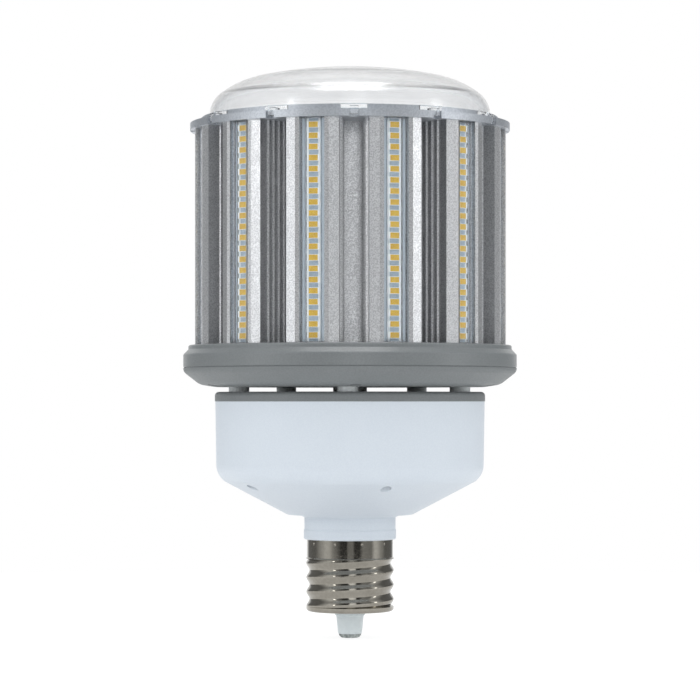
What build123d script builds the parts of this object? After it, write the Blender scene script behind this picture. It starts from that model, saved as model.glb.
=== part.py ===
"""High-power LED lamp on a long-contact screw base, modelled as its separate pieces.

Lengths are in millimetres. The origin is the centre of the tip contact and +Z runs up the lamp's
axis. Azimuths are in degrees about the axis, 0 at the front (-Y) and growing towards +X.
"""
import os
from math import cos, hypot, radians, sin, tan

from build123d import *

# Fits
PLAY = 0.15
SCREW_PLAY = 0.2

# Centre contact and insulator
TIP_R = 5.0
TIP_H = 1.7
TIP_FLAT_R = 2.4
TIP_BULGE = 0.7
RIVET_R = 1.6
RIVET_HEAD_R = 3.2
RIVET_HEAD_H = 0.8
INSULATOR_LOW_R = 5.3
INSULATOR_STEM_R = 6.1
INSULATOR_TOP_R = 6.7
INSULATOR_LEDGE_H = 1.6
INSULATOR_LEDGE_STEP = 0.6
INSULATOR_ROUND = 0.6
INSULATOR_H = 10.1
INSULATOR_FLANGE_R = 14.0
INSULATOR_FLANGE_H = 2.6

# Screw shell with its rolled right-hand thread
SHELL_H = 31.8
SHELL_WALL = 0.5
SHELL_FLOOR_H = 0.8
CREST_R = 19.45
ROOT_R = 18.05
PITCH = 6.35
CREST_ABOVE_FLOOR = 5.4
CREST_LAND = 0.5
CREST_SLOPE = 0.25
THREAD_TURNS = 7
THREAD_RUN_IN = 2.5
GROOVE_FADE = 1.6
BAND_R = 19.05
BAND_H = 7.9
FLOOR_ROUND = 1.4
PUNCH_COUNT = 10
PUNCH_AZIMUTH = 14.5
PUNCH_R = 0.9
PUNCH_DEPTH = 0.28
PUNCH_BELOW_RIM = 1.7

# White driver housing: neck, cone and cylinder in one moulding
HOUSING_WALL = 2.4
NECK_R = 20.2
NECK_H = 11.05
NECK_BEAD = 0.25
NECK_BEAD_H = 4.0
NECK_BEAD_RUN = 0.6
NECK_ROUND = 0.8
NECK_FILLET = 0.6
SHOULDER_R = 27.9
SHOULDER_ROUND = 1.0
CONE_ANGLE = 27.9
RIM_R = 59.6
BELLY_DRAFT = 0.5
BELLY_ROUND = 9.0
HOUSING_H = 49.95
SPIGOT_H = 5.6

# Screws that hold the housing, and the columns of the cap that they reach
HOUSING_SCREW_COUNT = 5
HOUSING_SCREW_AZIMUTH = 15.7
HOUSING_SCREW_IN = 8.0
BOSS_R = 4.3
COUNTERBORE_R = 2.4
BOARD_OVER_CONE = 3.37
SEAT_BELOW_BOARD = 6.0

# Driver board and what stands on it
BOARD_T = 1.6
TRANSFORMER_CORE = (26.0, 12.0, 20.0)
TRANSFORMER_WINDING = (16.0, 24.0, 13.6)
TRANSFORMER_AT = (-16.0, 12.0)
CAPACITORS = (
    (8.0, 24.0, 25.0, -4.5),
    (8.0, 24.0, 23.0, 13.5),
    (6.3, 16.0, 9.5, 29.0),
    (5.0, 12.0, -6.5, 33.5),
)
CAN_GROOVE = 0.5
CAN_GROOVE_H = 1.6
CAN_ROUND = 0.7
CHOKE_R = 11.0
CHOKE_HOLE_R = 4.5
CHOKE_H = 9.0
CHOKE_HOLE_ROUND = 1.4
CHOKE_ROUND = 2.2
CHOKE_AT = (-4.0, -24.0)
LEAD_R = 0.9
LEAD_OFFSET = 1.3
LEAD_TAIL_DROP = 8.0

# Grey housing cap with its posts and wiring tube
CAP_OVERHANG = 0.2
CAP_H = 4.2
CAP_ROUND = 1.8
CAP_PLATE_T = 3.2
CAP_SPIGOT_H = 3.0
CAP_SPIGOT_WALL = 2.2
POST_COUNT = 5
POST_AZIMUTH = -2.5
POST_IN = 9.0
POST_R = 4.5
POST_H = 2.1
TUBE_R = 7.5
TUBE_WALL = 1.6

# Grey two-part collar
COLLAR_WALL = 3.0
COLLAR_LOWER_H = 8.65
COLLAR_UPPER_H = 9.85
COLLAR_TURN_H = 1.1
COLLAR_SLOPE_W = 7.25
COLLAR_DISH_W = 6.9
COLLAR_SIDE_START = 6.8
COLLAR_FLOOR_ROUND = 14.0
COLLAR_TURN_ROUND = 7.0
COLLAR_SIDE_ROUND = 3.0
COLLAR_INNER_ROUND = 1.5
COLLAR_LIP_WALL = 2.26
COLLAR_LIP_H = 1.9
COLLAR_CHAMFER_W = 2.25
COLLAR_CHAMFER_H = 2.3
COLLAR_CHAMFER_ROUND = 1.2
COLLAR_LIP_ROUND = 0.8
COLLAR_LIP_FILLET = 0.4
PARTING_GROOVE = 0.35
COLLAR_SCREW_COUNT = 5
COLLAR_SCREW_AZIMUTH = 0.5
COLLAR_SCREW_IN = 10.75
COLLAR_COUNTERBORE_R = 2.75
COLLAR_BOSS_R = 4.0
COLLAR_BOSS_END = 1.5
COLLAR_PAD_H = 1.4
COLLAR_SCREW_GRIP = 7.0

# Heat sink: a core tube with twelve box-like arms
ARM_COUNT = 12
SINK_H = 98.1
SINK_SEAT = 3.4
FACE_R = 68.7
FACE_HALF = 7.3
FLANK = 4.4
FLANK_ANGLE = 20.0
CORE_R = 46.5
CORE_BORE_R = 43.2
ARM_WALL = 2.4
CHANNEL_FOOT = 3.0
CHANNEL_BACK = 2.7
RIB_FIRST = 5.9
RIB_PITCH = 3.8
RIB_BASE = 1.5
RIB_TIP = 0.7
RIB_H = 0.8
PORT_COUNT = 6
PORT_PITCH_R = 39.8
PORT_R = 4.2
PORT_BORE_R = 1.65

# LED boards, LED packages and cover strips in the arms' faces
POCKET_DEPTH = 4.8
STRIP_BOARD_W = 10.0
STRIP_BOARD_T = 1.2
STRIP_BOARD_END_GAP = 0.55
LED_PITCH = 4.66
LED_W = 5.7
LED_H = 3.0
LED_T = 0.8
COVER_OVER_LED = 0.25
COVER_FLANGE_T = 1.1
COVER_W = 11.8
COVER_RIDGE_W = 7.2
COVER_RIDGE_WALL = 0.5
COVER_RIDGE_T = 1.25
COVER_RIDGE_ROUND = 0.9
MOUTH_W = 10.8

# Top ring
RING_OVERHANG = 1.61
FLANGE_T = 3.1
RING_LEDGE_W = 5.2
RING_BAND_WALL = 3.35
RING_BAND_H = 2.5
NOTCH_W = 4.0
NOTCH_DEPTH = 4.6
WIRE_HOLE_R = 5.0

# Clear dome lens
DOME_WALL = 3.8
DOME_SKIRT_H = 4.1
DOME_SIDE_ROUND = 11.0
DOME_SIDE_TURN = 52.0
DOME_SHOULDER_ROUND = 38.0
DOME_SHOULDER_TURN = 78.0
LUG_W = 11.0
FINGER_W = 3.5
FINGER_REACH = 2.0
FINGER_PROUD = 4.1

# Top LED board
TOP_BOARD_GAP = 5.2
TOP_LED_EDGE = 5.5
TOP_LED_COUNTS = (6, 12, 24)
TOP_LED_INNER_R = 11.0
TOP_LED_MIDDLE_R = 23.0
SCREW_WINDOW_R = 3.6

# Screws, one size for all joints inside
SCREW_R = 1.45
SCREW_HEAD_R = 2.6
SCREW_HEAD_H = 1.9
SCREW_GRIP = 8.0
PILOT_R = SCREW_R + SCREW_PLAY / 2
PILOT_SPARE = 0.5
SOCKET_R = 1.3
SOCKET_DEPTH = 1.0
HOUSING_SCREW_HEAD_R = 2.2

# How far a cutting shape runs past the face that it opens
OVERCUT = 0.6

# Radii that follow the housing's rim
BELLY_R = RIM_R - BELLY_DRAFT
HOUSING_BORE_R = RIM_R - HOUSING_WALL
HOUSING_SCREW_PITCH_R = RIM_R - HOUSING_SCREW_IN
CAP_R = RIM_R + CAP_OVERHANG
POST_PITCH_R = CAP_R - POST_IN

# Radii that follow the heat sink outwards to the collar and inwards to the dome
SINK_REACH = hypot(FACE_R, FACE_HALF)
BOARD_POCKET_R = FACE_R - POCKET_DEPTH
CHANNEL_IN_R = CORE_R + CHANNEL_FOOT
CHANNEL_OUT_R = BOARD_POCKET_R - CHANNEL_BACK
COLLAR_LIP_R = SINK_REACH + PLAY + COLLAR_LIP_WALL
COLLAR_R = COLLAR_LIP_R + COLLAR_CHAMFER_W
COLLAR_TURN_R = COLLAR_R - COLLAR_SLOPE_W
COLLAR_FLOOR_R = COLLAR_TURN_R - COLLAR_DISH_W
COLLAR_SCREW_PITCH_R = COLLAR_R - COLLAR_SCREW_IN
RING_R = SINK_REACH + RING_OVERHANG
RING_BAND_R = RING_R - RING_LEDGE_W
DOME_R = RING_BAND_R - RING_BAND_WALL - PLAY
TOP_BOARD_R = DOME_R - DOME_WALL - TOP_BOARD_GAP
TOP_LED_RADII = (TOP_LED_INNER_R, TOP_LED_MIDDLE_R, TOP_BOARD_R - TOP_LED_EDGE)

# Heights of the seats, from the tip upwards
SHELL_FLOOR_Z = TIP_H + INSULATOR_H
SHELL_RIM_Z = SHELL_FLOOR_Z + SHELL_H
SHOULDER_Z = SHELL_RIM_Z + NECK_H
HOUSING_RIM_Z = SHOULDER_Z + HOUSING_H
CONE_DROP = HOUSING_WALL / cos(radians(CONE_ANGLE))
CONE_RISE = (HOUSING_BORE_R - SHOULDER_R) * tan(radians(CONE_ANGLE))
BOARD_Z = SHOULDER_Z + CONE_RISE + CONE_DROP + BOARD_OVER_CONE
CAP_TOP_Z = HOUSING_RIM_Z + CAP_H
COLLAR_Z = CAP_TOP_Z + POST_H
PARTING_Z = COLLAR_Z + COLLAR_LOWER_H
COLLAR_TOP_Z = PARTING_Z + COLLAR_UPPER_H
SINK_Z = COLLAR_TOP_Z - SINK_SEAT
RING_Z = SINK_Z + SINK_H
PLATE_TOP_Z = RING_Z + FLANGE_T
STRIP_BOARD_H = RING_Z - COLLAR_TOP_Z - 2 * STRIP_BOARD_END_GAP

FRONT = Plane.XZ


def at_front(radius, height, azimuth=0.0):
    """Place on a pitch circle, turned to an azimuth from the front."""
    return Rot(0, 0, azimuth) * Pos(0, -radius, height)


def round_axis(shape, count, start=0.0):
    """Copies of a shape that was made at the front, spaced evenly round the axis."""
    return [Rot(0, 0, start + 360 / count * index) * shape for index in range(count)]


def turned(outline, rounds=None):
    """Solid turned about the axis from a closed outline of (radius, height) corners."""
    radii = [0.0] * len(outline)
    for corner, radius in (rounds or {}).items():
        radii[corner] = radius
    if rounds:
        wire = FilletPolyline(*outline, radius=radii, close=True)
    else:
        wire = Polyline(*outline, close=True)
    return revolve(FRONT * make_face(wire), Axis.Z)


def upright(radius, height):
    """Cylinder standing on the XY plane."""
    return Cylinder(radius, height, align=(Align.CENTER, Align.CENTER, Align.MIN))


def block(width, depth, height):
    """Box standing on the XY plane."""
    return Box(width, depth, height, align=(Align.CENTER, Align.CENTER, Align.MIN))


def screw(length, head_radius=SCREW_HEAD_R):
    """Cap screw with its head below and its shank pointing up, the head's seat at height 0."""
    head = Pos(0, 0, -SCREW_HEAD_H) * upright(head_radius, SCREW_HEAD_H)
    socket = Pos(0, 0, -SCREW_HEAD_H) * upright(SOCKET_R, SOCKET_DEPTH)
    return head + upright(SCREW_R, length) - socket


def centre_contact():
    """Soldered tip with a small flat, and the rivet that carries it through the insulator."""
    side = hypot(TIP_R - TIP_FLAT_R, TIP_H)
    across = (TIP_FLAT_R + TIP_R) / 2 + TIP_BULGE * TIP_H / side
    up = TIP_H / 2 - TIP_BULGE * (TIP_R - TIP_FLAT_R) / side
    dome = ThreePointArc((TIP_FLAT_R, 0), (across, up), (TIP_R, TIP_H))
    face = make_face(Line((0, 0), (TIP_FLAT_R, 0)) + dome + Polyline((TIP_R, TIP_H), (0, TIP_H), (0, 0)))
    tip = revolve(FRONT * face, Axis.Z)
    rivet_top = SHELL_FLOOR_Z + SHELL_FLOOR_H + INSULATOR_FLANGE_H
    rivet = upright(RIVET_R, rivet_top + RIVET_HEAD_H)
    head = Pos(0, 0, rivet_top) * upright(RIVET_HEAD_R, RIVET_HEAD_H)
    return tip + rivet + head


def insulator():
    """Long pale insulator: a tapered stem below the shell and a flange on the shell's floor."""
    seat_z = SHELL_FLOOR_Z + SHELL_FLOOR_H
    top_z = seat_z + INSULATOR_FLANGE_H
    bore = RIVET_R + PLAY
    ledge_z = SHELL_FLOOR_Z - INSULATOR_LEDGE_H
    outline = [
        (bore, TIP_H),
        (INSULATOR_LOW_R, TIP_H),
        (INSULATOR_STEM_R, ledge_z - INSULATOR_LEDGE_STEP),
        (INSULATOR_TOP_R, ledge_z),
        (INSULATOR_TOP_R, seat_z),
        (INSULATOR_FLANGE_R, seat_z),
        (INSULATOR_FLANGE_R, top_z),
        (bore, top_z),
    ]
    return turned(outline, {1: INSULATOR_ROUND})


def thread_groove():
    """Smooth valley of the rolled thread, swept along a right-hand helix and faded at both ends."""
    start_z = SHELL_FLOOR_Z + CREST_ABOVE_FLOOR - THREAD_RUN_IN * PITCH
    middle_r = (ROOT_R + CREST_R) / 2
    edge = (PITCH - CREST_LAND) / 2
    edge_r = CREST_R - CREST_LAND / 16
    outside = CREST_R + OVERCUT
    valley = Spline(
        (edge_r, -edge), (middle_r, -PITCH / 4), (ROOT_R, 0), (middle_r, PITCH / 4), (edge_r, edge),
        tangents=((-CREST_SLOPE, 1), (CREST_SLOPE, 1)),
    )
    mouth = Polyline((edge_r, edge), (outside, edge), (outside, -edge), (edge_r, -edge))
    path = Helix(PITCH, THREAD_TURNS * PITCH, ROOT_R, center=(0, 0, start_z))
    groove = sweep(Pos(0, 0, start_z) * (FRONT * make_face(valley + mouth)), path=path, is_frenet=True)
    low_z = SHELL_FLOOR_Z + GROOVE_FADE
    high_z = SHELL_RIM_Z - BAND_H
    deep_r = ROOT_R - OVERCUT
    wide_r = CREST_R + 2 * OVERCUT
    reach = turned(
        [
            (deep_r, low_z + GROOVE_FADE), (wide_r, low_z), (wide_r, high_z),
            (deep_r, high_z - GROOVE_FADE),
        ]
    )
    return groove & reach


def screw_shell():
    """Rolled sheet shell: floor with the insulator's hole, threaded wall, plain band, punch marks."""
    band_z = SHELL_RIM_Z - BAND_H
    floor_top = SHELL_FLOOR_Z + SHELL_FLOOR_H
    hole = INSULATOR_TOP_R + PLAY
    wall_in = ROOT_R - SHELL_WALL
    band_in = BAND_R - SHELL_WALL
    step = band_in - wall_in
    body = turned(
        [
            (hole, SHELL_FLOOR_Z),
            (CREST_R, SHELL_FLOOR_Z),
            (CREST_R, band_z - (CREST_R - BAND_R)),
            (BAND_R, band_z),
            (BAND_R, SHELL_RIM_Z),
            (band_in, SHELL_RIM_Z),
            (band_in, band_z),
            (wall_in, band_z - step),
            (wall_in, floor_top),
            (hole, floor_top),
        ],
        {1: FLOOR_ROUND},
    )
    body = body - thread_groove()
    punch = Pos(0, -(BAND_R + PUNCH_R - PUNCH_DEPTH), SHELL_RIM_Z - PUNCH_BELOW_RIM) * Sphere(PUNCH_R)
    return body - round_axis(punch, PUNCH_COUNT, PUNCH_AZIMUTH)


def cone_height(radius):
    """Height of the housing's outer cone at a radius."""
    return SHOULDER_Z + (radius - SHOULDER_R) * tan(radians(CONE_ANGLE))


def driver_housing():
    """White moulding: spigot in the shell, neck, cone, cylinder, and five screw bosses inside."""
    bore = HOUSING_BORE_R
    neck_bore = BAND_R - SHELL_WALL - PLAY - HOUSING_WALL
    spigot_z = SHELL_RIM_Z - SPIGOT_H
    inner_shoulder_z = cone_height(NECK_R) + CONE_DROP
    outline = [
        (neck_bore, spigot_z),
        (BAND_R - SHELL_WALL - PLAY, spigot_z),
        (BAND_R - SHELL_WALL - PLAY, SHELL_RIM_Z),
        (NECK_R + NECK_BEAD, SHELL_RIM_Z),
        (NECK_R + NECK_BEAD, SHELL_RIM_Z + NECK_BEAD_H),
        (NECK_R, SHELL_RIM_Z + NECK_BEAD_H + NECK_BEAD_RUN),
        (NECK_R, SHOULDER_Z),
        (SHOULDER_R, SHOULDER_Z),
        (BELLY_R, cone_height(BELLY_R)),
        (RIM_R, HOUSING_RIM_Z),
        (bore, HOUSING_RIM_Z),
        (bore, cone_height(bore) + CONE_DROP),
        (NECK_R, inner_shoulder_z),
        (neck_bore, inner_shoulder_z),
    ]
    rounds = {
        3: NECK_ROUND,
        6: NECK_FILLET,
        7: SHOULDER_ROUND,
        8: BELLY_ROUND,
        11: BELLY_ROUND - HOUSING_WALL,
    }
    shell = turned(outline, rounds)
    boss_foot = cone_height(HOUSING_SCREW_PITCH_R)
    boss = at_front(HOUSING_SCREW_PITCH_R, boss_foot) * upright(BOSS_R, BOARD_Z - boss_foot)
    cone_top = cone_height(BELLY_R)
    inside = turned(
        [
            (0, inner_shoulder_z),
            (NECK_R, inner_shoulder_z),
            (bore, cone_height(bore) + CONE_DROP),
            (bore, BOARD_Z),
            (0, BOARD_Z),
        ]
    )
    boss = boss & (inside + Pos(0, 0, -CONE_DROP) * inside)
    counterbore = at_front(HOUSING_SCREW_PITCH_R, SHOULDER_Z) * upright(
        COUNTERBORE_R, BOARD_Z - SEAT_BELOW_BOARD - SHOULDER_Z
    )
    pilot = at_front(HOUSING_SCREW_PITCH_R, SHOULDER_Z) * upright(SCREW_R + SCREW_PLAY, cone_top)
    shell = shell + round_axis(boss, HOUSING_SCREW_COUNT, HOUSING_SCREW_AZIMUTH)
    return shell - round_axis(counterbore + pilot, HOUSING_SCREW_COUNT, HOUSING_SCREW_AZIMUTH)


def housing_screws():
    """Five screws, sunk in the cone, that pull the housing and the driver board up to the cap."""
    seat_z = BOARD_Z - SEAT_BELOW_BOARD
    length = SEAT_BELOW_BOARD + BOARD_T + SCREW_GRIP
    one = at_front(HOUSING_SCREW_PITCH_R, seat_z) * screw(length, HOUSING_SCREW_HEAD_R)
    return round_axis(one, HOUSING_SCREW_COUNT, HOUSING_SCREW_AZIMUTH)


def driver_board():
    """Round circuit board on the housing's bosses, with holes for the five screws and the lead."""
    plate = Pos(0, 0, BOARD_Z) * upright(HOUSING_BORE_R - 2 * PLAY, BOARD_T)
    hole = at_front(HOUSING_SCREW_PITCH_R, BOARD_Z) * upright(SCREW_R + SCREW_PLAY, BOARD_T)
    return plate - round_axis(hole, HOUSING_SCREW_COUNT, HOUSING_SCREW_AZIMUTH)


def transformer():
    """Ferrite transformer: a split core with the wound bobbin standing proud of both windows."""
    foot = (TRANSFORMER_CORE[2] - TRANSFORMER_WINDING[2]) / 2
    winding = Pos(0, 0, foot) * block(*TRANSFORMER_WINDING)
    return Pos(*TRANSFORMER_AT, BOARD_Z + BOARD_T) * (block(*TRANSFORMER_CORE) + winding)


def capacitors():
    """Four electrolytic capacitors standing on the board, with the pressed groove near the foot."""
    cans = []
    for radius, height, x, y in CAPACITORS:
        middle = CAN_GROOVE_H + CAN_GROOVE
        can = turned(
            [
                (0, 0),
                (radius, 0),
                (radius, CAN_GROOVE_H),
                (radius - CAN_GROOVE, middle),
                (radius, middle + CAN_GROOVE),
                (radius, height),
                (0, height),
            ],
            {5: CAN_ROUND},
        )
        cans.append(Pos(x, y, BOARD_Z + BOARD_T) * can)
    return cans


def choke():
    """Toroidal choke lying on the board."""
    ring = turned(
        [(CHOKE_HOLE_R, 0), (CHOKE_R, 0), (CHOKE_R, CHOKE_H), (CHOKE_HOLE_R, CHOKE_H)],
        {0: CHOKE_HOLE_ROUND, 1: CHOKE_ROUND, 2: CHOKE_ROUND, 3: CHOKE_HOLE_ROUND},
    )
    return Pos(*CHOKE_AT, BOARD_Z + BOARD_T) * ring


def supply_leads():
    """Leads from the rivet and from the shell's wall up to the underside of the driver board."""
    rivet_top = SHELL_FLOOR_Z + SHELL_FLOOR_H + INSULATOR_FLANGE_H + RIVET_HEAD_H
    centre = Pos(0, 0, rivet_top) * upright(LEAD_R, BOARD_Z - rivet_top)
    side_z = SHELL_RIM_Z - SPIGOT_H - LEAD_TAIL_DROP
    side_r = BAND_R - SHELL_WALL - PLAY - HOUSING_WALL - LEAD_R - PLAY
    side = Pos(side_r, 0, side_z) * upright(LEAD_R, BOARD_Z - side_z)
    tail_end = ROOT_R - SHELL_WALL - PLAY
    tail = Pos((side_r + tail_end) / 2, 0, side_z + LEAD_R) * Box(tail_end - side_r, LEAD_R, LEAD_R)
    return [centre, side + tail]


def lamp_leads():
    """Two leads from the driver board, up the wiring tube and the heat sink, to the top board."""
    wire = Pos(0, 0, BOARD_Z + BOARD_T) * upright(LEAD_R, PLATE_TOP_Z - BOARD_Z)
    return [Pos(side * LEAD_OFFSET, 0, 0) * wire for side in (-1, 1)]


def housing_cap():
    """Grey cap: rounded rim, spigot in the housing, screw columns, spacer posts and wiring tube."""
    plate_z = CAP_TOP_Z - CAP_PLATE_T
    spigot_r = HOUSING_BORE_R - PLAY
    spigot_in = spigot_r - CAP_SPIGOT_WALL
    spigot_z = HOUSING_RIM_Z - CAP_SPIGOT_H
    body = turned(
        [
            (0, CAP_TOP_Z),
            (0, plate_z),
            (spigot_in, plate_z),
            (spigot_in, spigot_z),
            (spigot_r, spigot_z),
            (spigot_r, HOUSING_RIM_Z),
            (CAP_R, HOUSING_RIM_Z),
            (CAP_R, CAP_TOP_Z),
        ],
        {7: CAP_ROUND},
    )
    column_z = BOARD_Z + BOARD_T
    column = at_front(HOUSING_SCREW_PITCH_R, column_z) * upright(BOSS_R, plate_z - column_z)
    pilot = at_front(HOUSING_SCREW_PITCH_R, column_z) * upright(PILOT_R, SCREW_GRIP + PILOT_SPARE)
    post = at_front(POST_PITCH_R, plate_z) * upright(POST_R, COLLAR_Z - plate_z)
    post_hole = at_front(POST_PITCH_R, plate_z) * upright(SCREW_R + SCREW_PLAY, COLLAR_Z - plate_z)
    tube = Pos(0, 0, plate_z) * upright(TUBE_R, COLLAR_Z - plate_z)
    bore = Pos(0, 0, plate_z) * upright(TUBE_R - TUBE_WALL, COLLAR_Z - plate_z)
    body = body + round_axis(column, HOUSING_SCREW_COUNT, HOUSING_SCREW_AZIMUTH) + tube
    body = body + round_axis(post, POST_COUNT, POST_AZIMUTH) - bore
    body = body - round_axis(pilot, HOUSING_SCREW_COUNT, HOUSING_SCREW_AZIMUTH)
    return body - round_axis(post_hole, POST_COUNT, POST_AZIMUTH)


def post_screws():
    """Five screws from inside the cap, through the posts, into the collar's lower bosses."""
    seat_z = CAP_TOP_Z - CAP_PLATE_T
    length = COLLAR_Z - seat_z + SCREW_GRIP
    return round_axis(at_front(POST_PITCH_R, seat_z) * screw(length), POST_COUNT, POST_AZIMUTH)


def collar_lower():
    """Lower collar half: dished floor, sloped underside with sunk screws, upright side."""
    floor_top = COLLAR_Z + COLLAR_WALL
    inner_r = COLLAR_R - COLLAR_WALL
    shell = turned(
        [
            (TUBE_R - TUBE_WALL, COLLAR_Z),
            (COLLAR_FLOOR_R, COLLAR_Z),
            (COLLAR_TURN_R, COLLAR_Z + COLLAR_TURN_H),
            (COLLAR_R, COLLAR_Z + COLLAR_SIDE_START),
            (COLLAR_R, PARTING_Z - PARTING_GROOVE),
            (COLLAR_R - PARTING_GROOVE, PARTING_Z),
            (inner_r, PARTING_Z),
            (inner_r, COLLAR_Z + COLLAR_SIDE_START + COLLAR_WALL / 3),
            (COLLAR_TURN_R, floor_top),
            (TUBE_R - TUBE_WALL, floor_top),
        ],
        {1: COLLAR_FLOOR_ROUND, 2: COLLAR_TURN_ROUND, 3: COLLAR_SIDE_ROUND, 7: COLLAR_INNER_ROUND},
    )
    foot = COLLAR_Z + COLLAR_WALL / 2
    boss_top = COLLAR_Z + SCREW_GRIP + COLLAR_BOSS_END
    boss = at_front(POST_PITCH_R, foot) * upright(COLLAR_BOSS_R, boss_top - foot)
    boss_hole = at_front(POST_PITCH_R, COLLAR_Z) * upright(PILOT_R, SCREW_GRIP + PILOT_SPARE)
    pad = at_front(COLLAR_SCREW_PITCH_R, foot) * upright(COLLAR_BOSS_R, floor_top + COLLAR_PAD_H - foot)
    sunk = at_front(COLLAR_SCREW_PITCH_R, COLLAR_Z) * upright(COLLAR_COUNTERBORE_R, COLLAR_WALL)
    through = at_front(COLLAR_SCREW_PITCH_R, COLLAR_Z) * upright(SCREW_R + SCREW_PLAY, COLLAR_LOWER_H)
    shell = shell + round_axis(boss, POST_COUNT, POST_AZIMUTH)
    shell = shell + round_axis(pad, COLLAR_SCREW_COUNT, COLLAR_SCREW_AZIMUTH)
    shell = shell - round_axis(boss_hole, POST_COUNT, POST_AZIMUTH)
    return shell - round_axis(sunk + through, COLLAR_SCREW_COUNT, COLLAR_SCREW_AZIMUTH)


def collar_upper():
    """Upper collar half: side, chamfer and lip round the heat sink's seat, with screw columns."""
    inner_r = COLLAR_R - COLLAR_WALL
    seat_under = SINK_Z - COLLAR_WALL
    lip_in = SINK_REACH + PLAY
    lip_z = COLLAR_TOP_Z - COLLAR_LIP_H
    hole = TUBE_R - TUBE_WALL
    shell = turned(
        [
            (hole, seat_under),
            (inner_r - COLLAR_WALL, seat_under),
            (inner_r, seat_under - COLLAR_WALL / 2),
            (inner_r, PARTING_Z),
            (COLLAR_R - PARTING_GROOVE, PARTING_Z),
            (COLLAR_R, PARTING_Z + PARTING_GROOVE),
            (COLLAR_R, lip_z - COLLAR_CHAMFER_H),
            (COLLAR_LIP_R, lip_z),
            (COLLAR_LIP_R, COLLAR_TOP_Z),
            (lip_in, COLLAR_TOP_Z),
            (lip_in, SINK_Z),
            (hole, SINK_Z),
        ],
        {6: COLLAR_CHAMFER_ROUND, 7: COLLAR_LIP_FILLET, 8: COLLAR_LIP_ROUND},
    )
    pad_top = COLLAR_Z + COLLAR_WALL + COLLAR_PAD_H
    column = at_front(COLLAR_SCREW_PITCH_R, pad_top) * upright(COLLAR_BOSS_R, seat_under - pad_top)
    pilot = at_front(COLLAR_SCREW_PITCH_R, pad_top) * upright(PILOT_R, COLLAR_SCREW_GRIP)
    sink_hole = at_front(PORT_PITCH_R, seat_under) * upright(SCREW_R + SCREW_PLAY, COLLAR_WALL)
    shell = shell + round_axis(column, COLLAR_SCREW_COUNT, COLLAR_SCREW_AZIMUTH)
    shell = shell - round_axis(pilot, COLLAR_SCREW_COUNT, COLLAR_SCREW_AZIMUTH)
    return shell - round_axis(sink_hole, PORT_COUNT)


def collar_screws():
    """Five screws sunk in the sloped underside that hold the two collar halves together."""
    seat_z = COLLAR_Z + COLLAR_WALL
    one = at_front(COLLAR_SCREW_PITCH_R, seat_z) * screw(COLLAR_SCREW_GRIP)
    return round_axis(one, COLLAR_SCREW_COUNT, COLLAR_SCREW_AZIMUTH)


def sink_screws():
    """Six screws from inside the collar up into the heat sink's ports."""
    one = at_front(PORT_PITCH_R, SINK_Z - COLLAR_WALL) * screw(COLLAR_WALL + SCREW_GRIP)
    return round_axis(one, PORT_COUNT)


def arm_corner():
    """Outer end of an arm's bevelled flank, as (half-width, radius)."""
    tilt = radians(FLANK_ANGLE)
    return FACE_HALF + FLANK * cos(tilt), FACE_R - FLANK * sin(tilt)


def arm_side():
    """One ribbed side of an arm, from the face's edge in to the core, as (offset, radius) points."""
    corner_u, corner_v = arm_corner()
    length = hypot(corner_u, corner_v)
    inward = (-corner_u / length, -corner_v / length)
    outward = (corner_v / length, -corner_u / length)
    points = [(FACE_HALF, FACE_R), (corner_u, corner_v)]
    ribs = 1 + int((length - CORE_R - RIB_FIRST - RIB_BASE) / RIB_PITCH)
    for index in range(ribs):
        middle = RIB_FIRST + index * RIB_PITCH
        steps = ((-RIB_BASE / 2, 0), (-RIB_TIP / 2, RIB_H), (RIB_TIP / 2, RIB_H), (RIB_BASE / 2, 0))
        for along, rise in steps:
            run = middle + along
            points.append(
                (
                    corner_u + inward[0] * run + outward[0] * rise,
                    corner_v + inward[1] * run + outward[1] * rise,
                )
            )
    root = length - CORE_R + ARM_WALL
    points.append((corner_u + inward[0] * root, corner_v + inward[1] * root))
    return points


def arm_section():
    """Section of one arm at the front: ribbed sides, face slot for cover and board, air channel."""
    side = arm_side()
    outline = [(u, -v) for u, v in side] + [(-u, -v) for u, v in reversed(side)]
    arm = make_face(Polyline(*outline, close=True))
    board_front = BOARD_POCKET_R + STRIP_BOARD_T
    groove_front = board_front + COVER_FLANGE_T + 2 * PLAY
    pocket = slot(STRIP_BOARD_W + 2 * PLAY, BOARD_POCKET_R, board_front)
    groove = slot(COVER_W + 2 * PLAY, board_front, groove_front)
    mouth = slot(MOUTH_W, groove_front, FACE_R + OVERCUT)
    corner_u, corner_v = arm_corner()
    taper = corner_u / corner_v
    wide = CHANNEL_OUT_R * taper - ARM_WALL
    narrow = CHANNEL_IN_R * taper - ARM_WALL
    channel = make_face(
        Polyline(
            (wide, -CHANNEL_OUT_R),
            (-wide, -CHANNEL_OUT_R),
            (-narrow, -CHANNEL_IN_R),
            (narrow, -CHANNEL_IN_R),
            close=True,
        )
    )
    return arm, [pocket, groove, mouth, channel]


def slot(width, inner, outer):
    """Rectangle across an arm at the front, between two radii."""
    return Pos(0, -(inner + outer) / 2) * Rectangle(width, outer - inner)


def heat_sink():
    """Extruded heat sink: core tube with screw ports inside and twelve ribbed arms outside."""
    arm, cuts = arm_section()
    half_step = 180 / ARM_COUNT
    section = Circle(CORE_R)
    for copy in round_axis(arm, ARM_COUNT, half_step):
        section = section + copy
    section = section - Circle(CORE_BORE_R)
    port = Pos(0, -PORT_PITCH_R) * Circle(PORT_R)
    section = section + round_axis(port, PORT_COUNT)
    bore = Pos(0, -PORT_PITCH_R) * Circle(PORT_BORE_R)
    openings = round_axis(bore, PORT_COUNT)
    for cut in cuts:
        openings += round_axis(cut, ARM_COUNT, half_step)
    section = section - openings
    return Pos(0, 0, SINK_Z) * extrude(section, SINK_H)


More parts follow.
